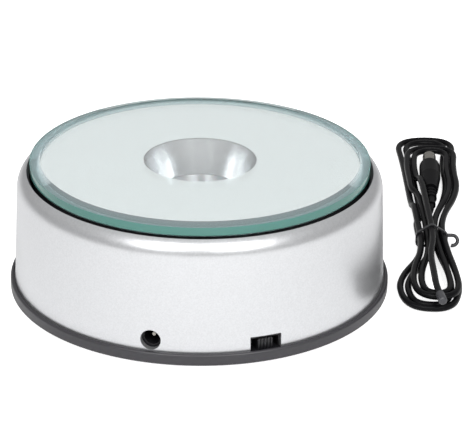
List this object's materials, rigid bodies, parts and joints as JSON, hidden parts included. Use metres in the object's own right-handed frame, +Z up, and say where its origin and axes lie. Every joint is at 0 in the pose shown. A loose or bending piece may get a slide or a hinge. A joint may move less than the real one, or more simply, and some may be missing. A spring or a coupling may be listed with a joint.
{
  "type": "rotating display base",
  "caption": "Low round display base: a bevelled mirror glass turntable with a lit centre window on a silver drum housing, with jack, switch and a tied power lead.",
  "frame": {"origin": "centre of the base's footprint on the table, at the bottom of the feet", "axes": "+Z up along the turning axis; -Y towards the side with the power jack and the switch; +X to the right of it, where the lead lies"},
  "size_m": [0.1777, 0.2069, 0.05],
  "materials": {
    "black_abs": "moulded black ABS, fine grain",
    "rubber": "matt black rubber",
    "silver_paint": "silver metallic paint on ABS, satin",
    "clear_glass": "clear float glass, polished bevel",
    "mirror": "silvering",
    "foam": "black foam tape",
    "plated_plastic": "vacuum-plated, satin",
    "white_abs": "moulded natural acetal and ABS",
    "circuit_board": "green solder mask",
    "lamp_chip": "lamp chip resin",
    "frosted_lens": "frosted acrylic",
    "zinc_steel": "zinc-plated steel",
    "nickel": "nickel plate",
    "black_moulding": "moulded black nylon, semi-gloss",
    "lead_pvc": "flexible PVC",
    "cord_pvc": "flexible black PVC, semi-gloss",
    "tie_pvc": "black PVC on wire"
  },
  "bodies": {
    "root": {"base_plate": "black_abs", "battery_box": "black_abs", "battery_contacts": "nickel", "battery_lead": "lead_pvc", "board_parts": "black_moulding", "control_board": "circuit_board", "cord_hank": "cord_pvc", "cord_sleeve": "lead_pvc", "cord_tie": "tie_pvc", "dc_plug": "cord_pvc", "dc_plug_barrel": "nickel", "gearbox": "black_abs", "housing": "silver_paint", "housing_screws": "zinc_steel", "inner_screws": "zinc_steel", "jack_lugs": "nickel", "jack_pin": "nickel", "lamp_board": "circuit_board", "lamp_chips": "lamp_chip", "lamp_holder": "white_abs", "lamp_lead": "lead_pvc", "lamp_lens": "frosted_lens", "motor_can": "zinc_steel", "motor_lead": "lead_pvc", "power_jack": "black_moulding", "roller_pins": "zinc_steel", "rubber_feet": "rubber", "switch_body": "black_moulding", "switch_lead": "lead_pvc", "thrust_washer": "white_abs"},
    "turntable": {"platter": "black_abs", "mirror_glass": "clear_glass", "mirror_silvering": "mirror", "bonding_pads": "foam", "reflector_cup": "plated_plastic"},
    "pinion": {"drive_pinion": "white_abs"},
    "roller_1": {"support_roller_1": "white_abs"},
    "roller_2": {"support_roller_2": "white_abs"},
    "roller_3": {"support_roller_3": "white_abs"},
    "knob": {"switch_knob": "black_moulding"},
    "door": {"battery_door": "black_abs"}
  },
  "joints": [
    {"name": "turntable_spin", "type": "hinge", "parent": "root", "child": "turntable", "pos_m": [0, 0, 0.045], "axis": [0, 0, 1], "continuous": true},
    {"name": "pinion_spin", "type": "hinge", "parent": "root", "child": "pinion", "pos_m": [-0.03007, -0.01094, 0.022], "axis": [0, 0, 1], "continuous": true},
    {"name": "roller_1_spin", "type": "hinge", "parent": "root", "child": "roller_1", "pos_m": [0, 0.051, 0.03735], "axis": [0, 1, 0], "continuous": true},
    {"name": "roller_2_spin", "type": "hinge", "parent": "root", "child": "roller_2", "pos_m": [-0.04417, -0.0255, 0.03735], "axis": [-0.866, -0.5, 0], "continuous": true},
    {"name": "roller_3_spin", "type": "hinge", "parent": "root", "child": "roller_3", "pos_m": [0.04417, -0.0255, 0.03735], "axis": [0.866, -0.5, 0], "continuous": true},
    {"name": "switch_slide", "type": "slide", "parent": "root", "child": "knob", "axis": [0.9406, 0.3396, 0], "range_m": [-0.0024, 0.0024]},
    {"name": "battery_door_lift", "type": "slide", "parent": "root", "child": "door", "axis": [0, 0, -1], "range_m": [0, 0.012]}
  ],
  "couplings": [
    {"joint": "pinion_spin", "follows": "turntable_spin", "ratio": -4},
    {"joint": "roller_1_spin", "follows": "turntable_spin", "ratio": -10.2},
    {"joint": "roller_2_spin", "follows": "turntable_spin", "ratio": -10.2},
    {"joint": "roller_3_spin", "follows": "turntable_spin", "ratio": -10.2}
  ]
}
